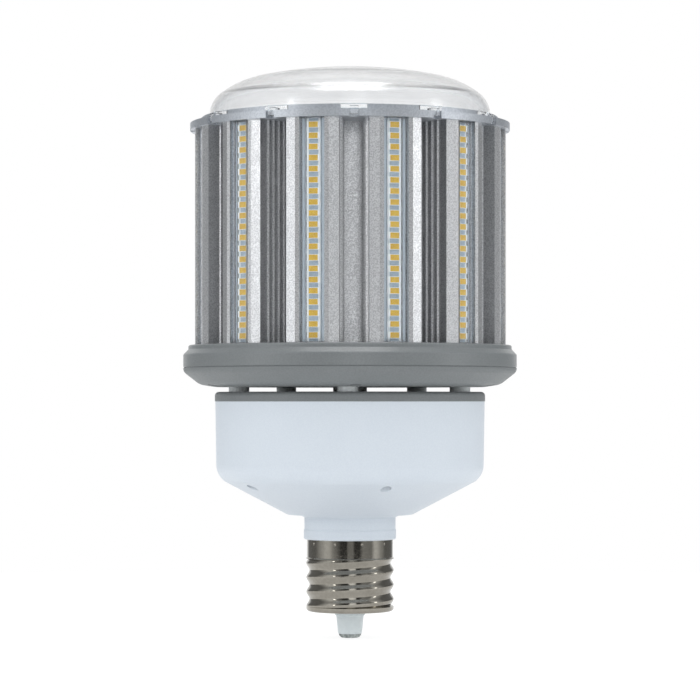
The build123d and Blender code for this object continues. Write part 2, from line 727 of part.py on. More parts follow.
def arm_azimuth(index):
    """Azimuth of an arm, counted from the one just right of the front."""
    return (index + 0.5) * 360 / ARM_COUNT


def led_board(index):
    """Aluminium-cored LED board in an arm's pocket."""
    plate = block(STRIP_BOARD_W, STRIP_BOARD_T, STRIP_BOARD_H)
    foot_z = COLLAR_TOP_Z + STRIP_BOARD_END_GAP
    return at_front(BOARD_POCKET_R + STRIP_BOARD_T / 2, foot_z, arm_azimuth(index)) * plate


def led_column(index):
    """LED packages in a column on an arm's board, as many as its length holds."""
    count = 1 + int((STRIP_BOARD_H - LED_H) / LED_PITCH)
    middle_z = (COLLAR_TOP_Z + RING_Z) / 2
    package = Box(LED_W, LED_T, LED_H)
    radius = BOARD_POCKET_R + STRIP_BOARD_T + LED_T / 2
    first_z = middle_z - (count - 1) / 2 * LED_PITCH
    heights = [first_z + step * LED_PITCH for step in range(count)]
    return [at_front(radius, height, arm_azimuth(index)) * package for height in heights]


def strip_cover(index):
    """Clear extruded cover: two flanges held in the arm's grooves and a hollow ridge over the LEDs."""
    back = BOARD_POCKET_R + STRIP_BOARD_T + PLAY
    front = back + COVER_FLANGE_T
    hollow = BOARD_POCKET_R + STRIP_BOARD_T + LED_T + COVER_OVER_LED
    top = hollow + COVER_RIDGE_T
    half = COVER_W / 2
    ridge = COVER_RIDGE_W / 2
    inner = ridge - COVER_RIDGE_WALL
    section = make_face(
        FilletPolyline(
            (-half, -back),
            (-half, -front),
            (-ridge, -front),
            (-ridge, -top),
            (ridge, -top),
            (ridge, -front),
            (half, -front),
            (half, -back),
            (inner, -back),
            (inner, -hollow),
            (-inner, -hollow),
            (-inner, -back),
            radius=[0, 0, 0, COVER_RIDGE_ROUND, COVER_RIDGE_ROUND, 0, 0, 0, 0, 0, 0, 0],
            close=True,
        )
    )
    return Rot(0, 0, arm_azimuth(index)) * (Pos(0, 0, SINK_Z) * extrude(section, RING_Z - SINK_Z))


def top_ring():
    """Aluminium end plate: notched flange over the arms and a set-back band round the dome."""
    band_in = DOME_R + PLAY
    body = turned(
        [
            (WIRE_HOLE_R, RING_Z),
            (RING_R, RING_Z),
            (RING_R, PLATE_TOP_Z),
            (RING_BAND_R, PLATE_TOP_Z),
            (RING_BAND_R, PLATE_TOP_Z + RING_BAND_H),
            (band_in, PLATE_TOP_Z + RING_BAND_H),
            (band_in, PLATE_TOP_Z),
            (WIRE_HOLE_R, PLATE_TOP_Z),
        ]
    )
    notch = at_front(RING_R - NOTCH_DEPTH / 2, RING_Z) * block(NOTCH_W, NOTCH_DEPTH, FLANGE_T)
    gap_mid = (RING_BAND_R + DOME_R) / 2
    gap_depth = RING_BAND_R - DOME_R + 2 * OVERCUT
    gap = at_front(gap_mid, PLATE_TOP_Z) * block(LUG_W + 2 * PLAY, gap_depth, RING_BAND_H)
    hole = at_front(PORT_PITCH_R, RING_Z) * upright(SCREW_R + SCREW_PLAY, FLANGE_T)
    body = body - round_axis(notch + gap, ARM_COUNT)
    return body - round_axis(hole, PORT_COUNT)


def ring_screws():
    """Six screws through the end plate into the heat sink's ports, heads up under the dome."""
    one = at_front(PORT_PITCH_R, PLATE_TOP_Z) * (Rot(180, 0, 0) * screw(FLANGE_T + SCREW_GRIP))
    return round_axis(one, PORT_COUNT)


def dome_form(inset):
    """Solid dome, inset from the lens's outer face: a skirt under three tangent arcs to the apex."""
    turns = [0.0, radians(DOME_SIDE_TURN), radians(DOME_SHOULDER_TURN), radians(90)]
    side_in = DOME_SIDE_ROUND * (1 - cos(turns[1]))
    shoulder_in = DOME_SHOULDER_ROUND * (cos(turns[1]) - cos(turns[2]))
    crown_round = (DOME_R - side_in - shoulder_in) / cos(turns[2])
    rounds = [DOME_SIDE_ROUND, DOME_SHOULDER_ROUND, crown_round]
    centre_r = DOME_R - DOME_SIDE_ROUND
    centre_z = PLATE_TOP_Z + DOME_SKIRT_H
    foot = (DOME_R - inset, centre_z)
    arcs = []
    for index, size in enumerate(rounds):
        reach = size - inset
        middle = (turns[index] + turns[index + 1]) / 2
        end = turns[index + 1]
        through = (centre_r + reach * cos(middle), centre_z + reach * sin(middle))
        head = (max(centre_r + reach * cos(end), 0), centre_z + reach * sin(end))
        arcs.append(ThreePointArc(foot, through, head))
        foot = head
        if index + 1 < len(rounds):
            centre_r += (size - rounds[index + 1]) * cos(end)
            centre_z += (size - rounds[index + 1]) * sin(end)
    skirt = Polyline(
        foot, (0, PLATE_TOP_Z), (DOME_R - inset, PLATE_TOP_Z), (DOME_R - inset, PLATE_TOP_Z + DOME_SKIRT_H)
    )
    return revolve(FRONT * make_face(arcs[0] + arcs[1] + arcs[2] + skirt), Axis.Z)


def dome_lens():
    """Clear dome of even wall with twelve lugs, each with a finger down into a notch of the ring."""
    shell = dome_form(0) - dome_form(DOME_WALL)
    lug_in = DOME_R - DOME_WALL / 2
    lug_depth = RING_BAND_R - lug_in
    lug = at_front(lug_in + lug_depth / 2, PLATE_TOP_Z) * block(LUG_W, lug_depth, RING_BAND_H)
    notch_in = RING_R - NOTCH_DEPTH + PLAY
    finger_out = RING_BAND_R + FINGER_PROUD
    finger_depth = finger_out - notch_in
    finger = at_front(notch_in + finger_depth / 2, PLATE_TOP_Z - FINGER_REACH) * block(
        FINGER_W, finger_depth, FINGER_REACH + RING_BAND_H / 2
    )
    bridge_depth = finger_out - lug_in
    bridge = at_front(lug_in + bridge_depth / 2, PLATE_TOP_Z) * block(FINGER_W, bridge_depth, RING_BAND_H / 2)
    return shell + round_axis(lug + bridge + finger, ARM_COUNT)


def top_led_board():
    """Round LED board on the end plate, with windows for the screw heads and holes for the leads."""
    plate = Pos(0, 0, PLATE_TOP_Z) * upright(TOP_BOARD_R, BOARD_T)
    window = at_front(PORT_PITCH_R, PLATE_TOP_Z) * upright(SCREW_WINDOW_R, BOARD_T)
    hole = Pos(0, 0, PLATE_TOP_Z) * upright(LEAD_R + PLAY, BOARD_T)
    lead_holes = [Pos(side * LEAD_OFFSET, 0, 0) * hole for side in (-1, 1)]
    return plate - round_axis(window, PORT_COUNT) - lead_holes


def top_leds():
    """LED packages in three rings on the top board."""
    package = block(LED_W, LED_H, LED_T)
    packages = []
    for count, radius in zip(TOP_LED_COUNTS, TOP_LED_RADII):
        packages += round_axis(at_front(radius, PLATE_TOP_Z + BOARD_T) * package, count, 180 / count)
    return packages


def write(name, shape):
    """Write one node's solid or group of solids."""
    if isinstance(shape, list):
        shape = Compound(children=shape)
    export_step(shape, f"parts/{name}.step")


NODES = {
    "centre_contact": centre_contact,
    "insulator": insulator,
    "screw_shell": screw_shell,
    "driver_housing": driver_housing,
    "housing_screws": housing_screws,
    "driver_board": driver_board,
    "transformer": transformer,
    "capacitors": capacitors,
    "choke": choke,
    "supply_leads": supply_leads,
    "lamp_leads": lamp_leads,
    "housing_cap": housing_cap,
    "post_screws": post_screws,
    "collar_lower": collar_lower,
    "collar_upper": collar_upper,
    "collar_screws": collar_screws,
    "sink_screws": sink_screws,
    "heat_sink": heat_sink,
    "top_ring": top_ring,
    "ring_screws": ring_screws,
    "top_led_board": top_led_board,
    "top_leds": top_leds,
    "dome_lens": dome_lens,
}

ARM_NODES = {"led_board": led_board, "led_column": led_column, "strip_cover": strip_cover}

os.makedirs("parts", exist_ok=True)
for node_name, make in NODES.items():
    write(node_name, make())
for prefix, make in ARM_NODES.items():
    for arm_index in range(ARM_COUNT):
        write(f"{prefix}_{arm_index + 1:02d}", make(arm_index))
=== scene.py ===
from math import cos, pi, radians, sin

import bmesh
import bpy
from mathutils import Matrix, Vector


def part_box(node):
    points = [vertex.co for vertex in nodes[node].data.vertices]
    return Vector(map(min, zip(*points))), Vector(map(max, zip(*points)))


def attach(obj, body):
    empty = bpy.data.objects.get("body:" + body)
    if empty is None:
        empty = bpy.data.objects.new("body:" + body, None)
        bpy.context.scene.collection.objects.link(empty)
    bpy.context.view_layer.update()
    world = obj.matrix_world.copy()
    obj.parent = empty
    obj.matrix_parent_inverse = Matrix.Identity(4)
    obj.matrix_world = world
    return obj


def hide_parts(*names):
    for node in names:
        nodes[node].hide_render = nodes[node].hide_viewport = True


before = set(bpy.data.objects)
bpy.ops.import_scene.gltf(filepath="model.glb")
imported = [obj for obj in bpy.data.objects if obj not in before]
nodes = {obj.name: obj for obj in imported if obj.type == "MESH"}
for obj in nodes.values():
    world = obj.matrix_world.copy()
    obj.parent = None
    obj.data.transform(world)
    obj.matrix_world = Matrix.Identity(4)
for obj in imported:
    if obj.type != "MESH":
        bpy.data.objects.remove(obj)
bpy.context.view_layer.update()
scene = bpy.context.scene

# Camera.
# A long lens at the height of the white housing's rim, a step to the left of the lamp's front
# groove. It was fitted to the photograph's outlines.
CAMERA_DISTANCE = 1.2426
CAMERA_HEIGHT = 0.1052
CAMERA_STEP = radians(1.5)
CAMERA_LENS = 144.26
CAMERA_SENSOR = 36.0
CAMERA_SHIFT = 0.0714
CAMERA_REACH = 20.0
camera_data = bpy.data.cameras.new("view")
camera_data.lens = CAMERA_LENS
camera_data.sensor_width = CAMERA_SENSOR
camera_data.shift_y = CAMERA_SHIFT
camera_data.clip_end = CAMERA_REACH
camera = bpy.data.objects.new("view", camera_data)
camera.location = (
    -CAMERA_DISTANCE * sin(CAMERA_STEP), -CAMERA_DISTANCE * cos(CAMERA_STEP), CAMERA_HEIGHT,
)
camera.rotation_euler = (radians(90), 0, -CAMERA_STEP)
scene.collection.objects.link(camera)
scene.camera = camera
scene.view_settings.view_transform = "Standard"


# Room.
# What metal mirrors is a light tent: bright walls to the sides, a white sheet behind, and a dark
# front with a card above the lens. Matt surfaces get an even light instead, which no real room
# would do. All levels are tuned by measure to the photograph.
class Finish:
    """A material's node tree, with short ways to add and join nodes."""

    def __init__(self, tree):
        self.tree = tree
        self.tree.nodes.clear()

    def add(self, kind, inputs=None, **settings):
        node = self.tree.nodes.new(kind)
        for key, value in settings.items():
            setattr(node, key, value)
        for key, value in (inputs or {}).items():
            self.feed(node.inputs[key], value)
        return node

    def feed(self, socket, value):
        if isinstance(value, bpy.types.NodeSocket):
            self.tree.links.new(value, socket)
        else:
            socket.default_value = value

    def maths(self, operation, *values, clamp=False):
        node = self.add("ShaderNodeMath", operation=operation, use_clamp=clamp)
        for socket, value in zip(node.inputs, values):
            self.feed(socket, value)
        return node.outputs[0]

    def ramp(self, value, low, high, to_low=0.0, to_high=1.0):
        node = self.add(
            "ShaderNodeMapRange",
            {"Value": value, "From Min": low, "From Max": high, "To Min": to_low, "To Max": to_high},
            interpolation_type="SMOOTHSTEP",
        )
        return node.outputs["Result"]


def ray_kinds(finish):
    """The kinds of ray, and a mask of the glossy and transmission rays together."""
    kinds = finish.add("ShaderNodeLightPath").outputs
    bent = finish.maths("MAXIMUM", kinds["Is Glossy Ray"], kinds["Is Transmission Ray"])
    return kinds, bent


# Brightness of the mirrored tent by azimuth from the front, in degrees, with the left negative:
# a faint patch in front, a dark gap on each side of it, bright walls, and the sheet behind.
TENT_WALLS = (
    (-180, 1.0), (-157, 1.0), (-146, 0.28), (-106, 0.28), (-86, 0.75), (-70, 1.2), (-60, 1.2),
    (-46, 0.55), (-36, 0.36), (-26, 0.08), (-11, 0.06), (-6, 0.40), (6, 0.40), (11, 0.06),
    (24, 0.08), (34, 0.50), (58, 0.42), (68, 1.15), (74, 1.15), (86, 0.75), (106, 0.28),
    (146, 0.28), (157, 1.0), (180, 1.0),
)
TENT_CEILING = 0.5
CEILING_FROM, CEILING_TO = 0.6, 0.9
# The sheet behind the lamp starts at this azimuth, and is plain white for glossy and clear surfaces.
SHEET_FROM = radians(157)
# The card stands above the lens: the grooves' floors mirror it and the nickel shell doesn't.
CARD_LEVEL = 1.35
CARD_LEFT = (radians(-9), radians(-3))
CARD_RIGHT = (radians(11), radians(17))
CARD_FOOT = (-0.02, 0.02)
# The level that reaches matt surfaces and clear ones, the same from all sides.
TENT_EVEN = 1.0
# What a matt surface gets on top of it through clear plastic, to make up for what that holds back.
TENT_THROUGH = 0.8
# Between no diffuse bounce and one.
ONE_BOUNCE = 0.5
TENT_TINT = (0.96, 0.98, 1.0, 1)
WHITE = (1, 1, 1, 1)
world = bpy.data.worlds.new("light_tent")
world.use_nodes = True
scene.world = world
tent = Finish(world.node_tree)
direction = tent.add("ShaderNodeTexCoord").outputs["Generated"]
split = tent.add("ShaderNodeSeparateXYZ", {0: direction})
ahead = tent.maths("MULTIPLY", split.outputs["Y"], -1.0)
turn = tent.maths("ARCTAN2", split.outputs["X"], ahead)
azimuth = tent.maths("ABSOLUTE", turn)
walls = tent.add("ShaderNodeValToRGB", {"Fac": tent.maths("MULTIPLY_ADD", turn, 0.5 / pi, 0.5)})
stops = walls.color_ramp.elements
while len(stops) < len(TENT_WALLS):
    stops.new(1.0)
for stop, (angle, level) in zip(stops, TENT_WALLS):
    stop.position = angle / 360 + 0.5
    stop.color = (level, level, level, 1)
overhead = tent.ramp(split.outputs["Z"], CEILING_FROM, CEILING_TO)
card_left = tent.ramp(turn, *CARD_LEFT)
card_right = tent.ramp(turn, *CARD_RIGHT, 1.0, 0.0)
card_width = tent.maths("MULTIPLY", card_left, card_right)
card = tent.maths("MULTIPLY", card_width, tent.ramp(split.outputs["Z"], *CARD_FOOT))
front = tent.maths("ADD", walls.outputs["Color"], tent.maths("MULTIPLY", card, CARD_LEVEL))
level = tent.add("ShaderNodeMix", {"Factor": overhead, "A": front, "B": TENT_CEILING})
behind = tent.maths("GREATER_THAN", azimuth, SHEET_FROM)
rays, bent_ray = ray_kinds(tent)
through = rays["Is Transmission Ray"]
# A ray that is bent by clear plastic counts as glossy too, and isn't a mirrored one.
mirrored = tent.maths("SUBTRACT", rays["Is Glossy Ray"], through, clamp=True)
white_ray = tent.maths("MAXIMUM", rays["Is Camera Ray"], tent.maths("MULTIPLY", bent_ray, behind))
scattered = tent.maths("GREATER_THAN", rays["Diffuse Depth"], ONE_BOUNCE)
behind_plastic = tent.maths("MULTIPLY", through, scattered)
even = tent.maths("MULTIPLY_ADD", behind_plastic, TENT_THROUGH, TENT_EVEN)
strength = tent.add("ShaderNodeMix", {"Factor": mirrored, "A": even, "B": level.outputs["Result"]})
tent_light = tent.add(
    "ShaderNodeBackground", {"Color": TENT_TINT, "Strength": strength.outputs["Result"]},
)
tent_white = tent.add("ShaderNodeBackground", {"Color": WHITE, "Strength": 1.0})
tent_mix = tent.add(
    "ShaderNodeMixShader", {0: white_ray, 1: tent_light.outputs[0], 2: tent_white.outputs[0]},
)
tent.add("ShaderNodeOutputWorld", {"Surface": tent_mix.outputs[0]})


def softbox(name, place, aim, size, watts):
    """A rectangular light that faces a point and isn't seen by the camera itself."""
    data = bpy.data.lights.new(name, "AREA")
    data.shape = "RECTANGLE"
    data.size, data.size_y = size
    data.energy = watts
    box = bpy.data.objects.new(name, data)
    box.location = place
    box.rotation_euler = (Vector(aim) - Vector(place)).to_track_quat("-Z", "Y").to_euler()
    box.visible_camera = False
    scene.collection.objects.link(box)


LAMP_MIDDLE = (0, 0, 0.13)
softbox("left_box", (-0.92, -0.78, 0.50), LAMP_MIDDLE, (0.12, 0.5), 1.0)
softbox("right_box", (1.15, -0.35, 0.45), LAMP_MIDDLE, (0.16, 0.5), 0.8)
softbox("top_box", (0, -0.10, 1.25), LAMP_MIDDLE, (0.6, 0.5), 6.0)

# Floor.
# A white sheet under the lamp. It stays white in the picture and keeps a faint shadow, as most of
# its brightness there is a glow of its own.
FLOOR_R = 0.5
FLOOR_CORNERS = 96
FLOOR_TONE = (0.82, 0.82, 0.82, 1)
SHADOW_TONE = (0.3, 0.3, 0.3, 1)
FLOOR_GLOW = 0.82
floor_mesh = bpy.data.meshes.new("floor")
shape = bmesh.new()
bmesh.ops.create_circle(shape, cap_ends=True, segments=FLOOR_CORNERS, radius=FLOOR_R)
shape.to_mesh(floor_mesh)
shape.free()
floor = bpy.data.objects.new("floor", floor_mesh)
scene.collection.objects.link(floor)
floor_material = bpy.data.materials.new("floor_sheet")
floor_material.use_nodes = True
sheet = Finish(floor_material.node_tree)
rays, bent_ray = ray_kinds(sheet)
plain = sheet.add("ShaderNodeBsdfDiffuse", {"Color": FLOOR_TONE})
shade = sheet.add("ShaderNodeBsdfDiffuse", {"Color": SHADOW_TONE})
glow = sheet.add("ShaderNodeEmission", {"Color": WHITE, "Strength": FLOOR_GLOW})
seen = sheet.add("ShaderNodeAddShader", {0: shade.outputs[0], 1: glow.outputs[0]})
floor_mix = sheet.add(
    "ShaderNodeMixShader",
    {
        0: sheet.maths("MAXIMUM", rays["Is Camera Ray"], bent_ray),
        1: plain.outputs[0],
        2: seen.outputs[0],
    },
)
sheet.add("ShaderNodeOutputMaterial", {"Surface": floor_mix.outputs[0]})
floor_mesh.materials.append(floor_material)


# Solder tip.
# The centre contact: a blob of dull solder over the rivet, turned up at its edge where it cooled.
def new_group(name, inputs, outputs):
    """An empty shader node group with named float and colour sockets."""
    group = bpy.data.node_groups.new(name, "ShaderNodeTree")
    for socket, kind, value in inputs:
        made = group.interface.new_socket(name=socket, in_out="INPUT", socket_type=kind)
        if value is not None:
            made.default_value = value
    for socket, kind in outputs:
        group.interface.new_socket(name=socket, in_out="OUTPUT", socket_type=kind)
    finish = Finish(group)
    return group, finish, finish.add("NodeGroupInput"), finish.add("NodeGroupOutput")


FLOAT = "NodeSocketFloat"
COLOUR = "NodeSocketColor"
VECTOR = "NodeSocketVector"
# A Mix node's sockets for colours: its two inputs and its output.
MIX_A, MIX_B, MIXED = 6, 7, 2
FINE_RAMP = (0.38, 0.62)
CLOUD_RAMP = (0.3, 0.7)

# Grain: two sizes of noise that shift a colour between two tones and give a height for the bump.
grain_group, grain, grain_in, grain_out = new_group(
    "grain",
    (
        ("Vector", VECTOR, None),
        ("Scale", FLOAT, 900.0),
        ("Cloud Scale", FLOAT, 40.0),
        ("Cloud Share", FLOAT, 0.3),
        ("Light", COLOUR, (0.8, 0.8, 0.8, 1)),
        ("Dark", COLOUR, (0.7, 0.7, 0.7, 1)),
        ("Smooth", FLOAT, 0.3),
        ("Rough", FLOAT, 0.4),
    ),
    (("Color", COLOUR), ("Roughness", FLOAT), ("Height", FLOAT)),
)
fine = grain.add(
    "ShaderNodeTexNoise",
    {"Vector": grain_in.outputs["Vector"], "Scale": grain_in.outputs["Scale"], "Detail": 3.0},
)
cloud = grain.add(
    "ShaderNodeTexNoise",
    {"Vector": grain_in.outputs["Vector"], "Scale": grain_in.outputs["Cloud Scale"], "Detail": 2.0},
)
fine_mask = grain.ramp(fine.outputs["Fac"], *FINE_RAMP)
cloud_mask = grain.ramp(cloud.outputs["Fac"], *CLOUD_RAMP)
grain_mask = grain.add(
    "ShaderNodeMix", {"Factor": grain_in.outputs["Cloud Share"], "A": fine_mask, "B": cloud_mask},
).outputs["Result"]
grain_colour = grain.add(
    "ShaderNodeMix",
    {"Factor": grain_mask, MIX_A: grain_in.outputs["Dark"], MIX_B: grain_in.outputs["Light"]},
    data_type="RGBA",
)
grain_rough = grain.add(
    "ShaderNodeMix",
    {"Factor": grain_mask, "A": grain_in.outputs["Rough"], "B": grain_in.outputs["Smooth"]},
)
grain.feed(grain_out.inputs["Color"], grain_colour.outputs[MIXED])
grain.feed(grain_out.inputs["Roughness"], grain_rough.outputs["Result"])
grain.feed(grain_out.inputs["Height"], fine_mask)


def grained(
    name, dark, light, rough, scale, cloud_scale, bump, cloud_share=0.3, stretch=None, marks=(), **sockets,
):
    """A material whose colour, roughness and bump come from the grain group, with painted marks."""
    material = bpy.data.materials.new(name)
    material.use_nodes = True
    finish = Finish(material.node_tree)
    place = finish.add("ShaderNodeTexCoord").outputs["Object"]
    if stretch:
        place = finish.add("ShaderNodeMapping", {"Vector": place, "Scale": stretch}).outputs["Vector"]
    values = {
        "Vector": place, "Scale": scale, "Cloud Scale": cloud_scale, "Cloud Share": cloud_share,
        "Light": (*light, 1), "Dark": (*dark, 1), "Smooth": rough[0], "Rough": rough[1],
    }
    group = finish.add("ShaderNodeGroup", values, node_tree=grain_group)
    colour = group.outputs["Color"]
    for mask, paint in marks:
        inputs = {"Factor": mask(finish, place), MIX_A: colour, MIX_B: (*paint, 1)}
        colour = finish.add("ShaderNodeMix", inputs, data_type="RGBA").outputs[MIXED]
    relief = finish.add(
        "ShaderNodeBump",
        {"Height": group.outputs["Height"], "Strength": bump[0], "Distance": bump[1]},
    )
    skin = finish.add(
        "ShaderNodeBsdfPrincipled",
        {
            "Base Color": colour,
            "Roughness": group.outputs["Roughness"],
            "Normal": relief.outputs["Normal"],
        },
    )
    for key, value in sockets.items():
        skin.inputs[key.replace("_", " ")].default_value = value
    finish.add("ShaderNodeOutputMaterial", {"Surface": skin.outputs[0]})
    return material


def dress(names, material):
    """Give CAD nodes their material, in the slots that they came with."""
    for name in names:
        for slot in nodes[name].material_slots:
            slot.material = material


solder = grained(
    "dull_solder", (0.17, 0.19, 0.19), (0.44, 0.48, 0.47), (0.30, 0.5), 900.0, 260.0,
    (0.5, 0.0004), cloud_share=0.5, Metallic=1.0,
)
dress(["centre_contact"], solder)

# Insulator.
# The long tapered stem of the base, pressed from pale glazed porcelain, with a flange in the shell.
porcelain = grained(
    "pale_porcelain", (0.82, 0.89, 0.91), (0.86, 0.93, 0.945), (0.28, 0.36), 500.0, 120.0, (0.08, 0.0001),
)
dress(["insulator"], porcelain)

# Screw shell.
# Thin brass sheet with the thread rolled in, plated with warm nickel, and staked on the housing's
# neck by a row of punch marks below its rim.
nickel = grained(
    "warm_nickel", (0.250, 0.234, 0.202), (0.305, 0.287, 0.250), (0.05, 0.09), 700.0, 90.0, (0.03, 0.0001),
    cloud_share=0.6, Metallic=1.0,
)
dress(["screw_shell"], nickel)

# Driver housing.
# One white moulding in flame-retardant plastic: neck, cone and cylinder, with a fine spark finish.
white_moulding = grained(
    "white_moulding", (0.63, 0.68, 0.735), (0.66, 0.71, 0.76), (0.42, 0.50), 1600.0, 60.0, (0.05, 0.00005),
    Specular_IOR_Level=0.35,
)
dress(["driver_housing"], white_moulding)

# Screws.
# Zinc-plated screws for every joint of the lamp. Only the heads in the cone and the collar show;
# the plating and the hidden screws are guessed.
zinc = grained(
    "zinc_plate", (0.42, 0.43, 0.45), (0.58, 0.60, 0.62), (0.25, 0.4), 800.0, 300.0, (0.1, 0.0001),
    Metallic=1.0,
)
dress(["housing_screws", "post_screws", "collar_screws", "sink_screws", "ring_screws"], zinc)

# Driver board and its parts.
# A round green laminate with a transformer, a toroid choke and sleeved capacitors. None of it
# shows in the photograph, so its looks are guessed.
laminate = grained(
    "green_laminate", (0.03, 0.15, 0.06), (0.05, 0.22, 0.09), (0.3, 0.45), 1200.0, 200.0, (0.1, 0.0001),
)
ferrite = grained(
    "pressed_ferrite", (0.05, 0.05, 0.055), (0.11, 0.11, 0.12), (0.55, 0.75), 1200.0, 200.0, (0.2, 0.0001),
)
sleeve = grained(
    "capacitor_sleeve", (0.03, 0.035, 0.06), (0.06, 0.065, 0.10), (0.25, 0.35), 600.0, 200.0, (0.05, 0.0001),
)
copper = grained(
    "enamelled_copper", (0.40, 0.15, 0.06), (0.62, 0.28, 0.12), (0.25, 0.4), 900.0, 200.0, (0.3, 0.0002),
    stretch=(1, 1, 6), Metallic=1.0,
)
silicone = grained(
    "silicone_insulation", (0.42, 0.03, 0.02), (0.55, 0.05, 0.04), (0.4, 0.55), 900.0, 200.0, (0.05, 0.0001),
)
dress(["driver_board"], laminate)
dress(["transformer"], ferrite)
dress(["capacitors"], sleeve)
dress(["choke"], copper)
dress(["supply_leads", "lamp_leads"], silicone)

# Housing cap and collar.
# Grey mouldings with a satin finish. The cap closes the housing, and its posts hold the two-part
# collar clear of it, so that air can pass.
grey_moulding = grained(
    "grey_moulding", (0.160, 0.173, 0.176), (0.182, 0.194, 0.197), (0.30, 0.38), 1500.0, 70.0,
    (0.04, 0.00005), Specular_IOR_Level=0.5,
)
dress(["collar_upper"], grey_moulding)
GAP_R = (0.0575, 0.0585)
GAP_FOOT_Z = 0.1084
GAP_TOP_Z = 0.1113


def inside_gap(finish, place):
    """The air gap's floor, roof and posts, painted pale in place of light that the gap catches."""
    split = finish.add("ShaderNodeSeparateXYZ", {0: place})
    squares = [finish.maths("POWER", split.outputs[axis], 2.0) for axis in "XY"]
    near = finish.ramp(finish.maths("SQRT", finish.maths("ADD", *squares)), *GAP_R, 1.0, 0.0)
    above = finish.maths("GREATER_THAN", split.outputs["Z"], GAP_FOOT_Z)
    below = finish.maths("LESS_THAN", split.outputs["Z"], GAP_TOP_Z)
    return finish.maths("MULTIPLY", near, finish.maths("MULTIPLY", above, below))


GAP_PAINT = (0.78, 0.80, 0.80)
gap_moulding = grained(
    "gap_moulding", (0.172, 0.184, 0.187), (0.193, 0.205, 0.208), (0.46, 0.56), 1500.0, 70.0,
    (0.06, 0.00006), marks=((inside_gap, GAP_PAINT),), Specular_IOR_Level=0.3,
)
dress(["housing_cap", "collar_lower"], gap_moulding)

# Heat sink.
# One aluminium extrusion, cut to length, with the fine blasted grain that the photograph shows.
blasted = grained(
    "blasted_aluminium", (0.58, 0.585, 0.595), (0.86, 0.865, 0.875), (0.28, 0.40), 1900.0, 240.0,
    (0.3, 0.0001), cloud_share=0.12, Metallic=1.0,
)
dress(["heat_sink"], blasted)

# Top ring.
# The end plate, of aluminium with a satin finish and a row of notches round its edge.
turned = grained(
    "turned_aluminium", (0.54, 0.57, 0.61), (0.65, 0.68, 0.72), (0.44, 0.52), 1300.0, 200.0,
    (0.1, 0.0001), cloud_share=0.2, Metallic=1.0,
)
dress(["top_ring"], turned)

# LED boards.
# Aluminium-cored boards with a pale blue-white solder mask, one in each arm and one under the dome.
ARM_COUNT = 12
ARM_ANGLE = 360 / ARM_COUNT
STRIPS = ["%02d" % (index + 1) for index in range(ARM_COUNT)]
MASK_TONES = ((0.33, 0.41, 0.48), (0.41, 0.49, 0.56))
solder_mask = grained("solder_mask", *MASK_TONES, (0.3, 0.4), 700.0, 260.0, (0.05, 0.0001))
dress(["top_led_board"], solder_mask)
# Distances across the arm's middle plane: the band of painted highlight beside each LED row, the start of
# the painted light on the board's edges, and the blur of both.
GLINT_BAND = (0.0020, 0.0030)
MARGIN = 0.0036
PAINT_BLUR = 0.00008


def strip_place(finish, place):
    """Distance across the nearest arm's middle plane, and distance from the lamp's axis."""
    split = finish.add("ShaderNodeSeparateXYZ", {0: place})
    ahead = finish.maths("MULTIPLY", split.outputs["Y"], -1.0)
    sector = radians(ARM_ANGLE)
    turn = finish.maths("DIVIDE", finish.maths("ARCTAN2", split.outputs["X"], ahead), sector)
    off_middle = finish.maths("SUBTRACT", finish.maths("FRACT", turn), 0.5)
    swing = finish.maths("MULTIPLY", off_middle, sector)
    squares = [finish.maths("POWER", split.outputs[axis], 2.0) for axis in "XY"]
    reach = finish.maths("SQRT", finish.maths("ADD", *squares))
    across = finish.maths("ABSOLUTE", finish.maths("MULTIPLY", reach, finish.maths("SINE", swing)))
    return across, reach


def painted_glint_rails(finish, place):
    """A white line along each side of the LED row: a painted highlight in place of the glints there."""
    across, _ = strip_place(finish, place)
    inside = finish.ramp(across, GLINT_BAND[0], GLINT_BAND[0] + PAINT_BLUR)
    outside = finish.ramp(across, GLINT_BAND[1], GLINT_BAND[1] + PAINT_BLUR, 1.0, 0.0)
    return finish.maths("MULTIPLY", inside, outside)


def painted_light_margins(finish, place):
    """The board's long edges, painted paler than its middle: painted light that lifts the shade under the
    cover's flanges.
    """
    across, _ = strip_place(finish, place)
    return finish.ramp(across, MARGIN, MARGIN + PAINT_BLUR)


# Painted highlight for the white lines beside the LEDs, and painted light that lifts the shaded board edges,
# laid over the solder mask's own tones.
GLINT_PAINT = (0.93, 0.95, 0.95)
MARGIN_LIGHT_PAINT = (0.66, 0.74, 0.80)
strip_mask_and_painted_light = grained(
    "strip_mask_and_painted_light", *MASK_TONES, (0.3, 0.4), 700.0, 260.0, (0.05, 0.0001),
    marks=((painted_glint_rails, GLINT_PAINT), (painted_light_margins, MARGIN_LIGHT_PAINT)),
)
dress(["led_board_" + number for number in STRIPS], strip_mask_and_painted_light)

# LED packages.
# White moulded frames, each with a bowl of yellow phosphor and a tinned pad at both ends, soldered
# in a column on each board and in rings on the top board.
PACKAGE = (0.0055, 0.0028, 0.0008)
PACKAGE_EDGE = 0.00012
WINDOW = (0.0041, 0.00256)
WINDOW_SINK = 0.00012
PAD = (0.0003, 0.0020, 0.00018)
frame_white = grained(
    "package_frame", (0.86, 0.88, 0.87), (0.93, 0.95, 0.94), (0.35, 0.45), 900.0, 300.0, (0.05, 0.0001),
)
phosphor = grained(
    "phosphor", (0.68, 0.39, 0.010), (0.78, 0.50, 0.024), (0.30, 0.42), 2600.0, 500.0,
    (0.3, 0.0001), cloud_share=0.5,
)
tinned = grained(
    "tinned_pad", (0.60, 0.61, 0.62), (0.78, 0.79, 0.80), (0.2, 0.35), 900.0, 300.0,
    (0.1, 0.0001), Metallic=1.0,
)


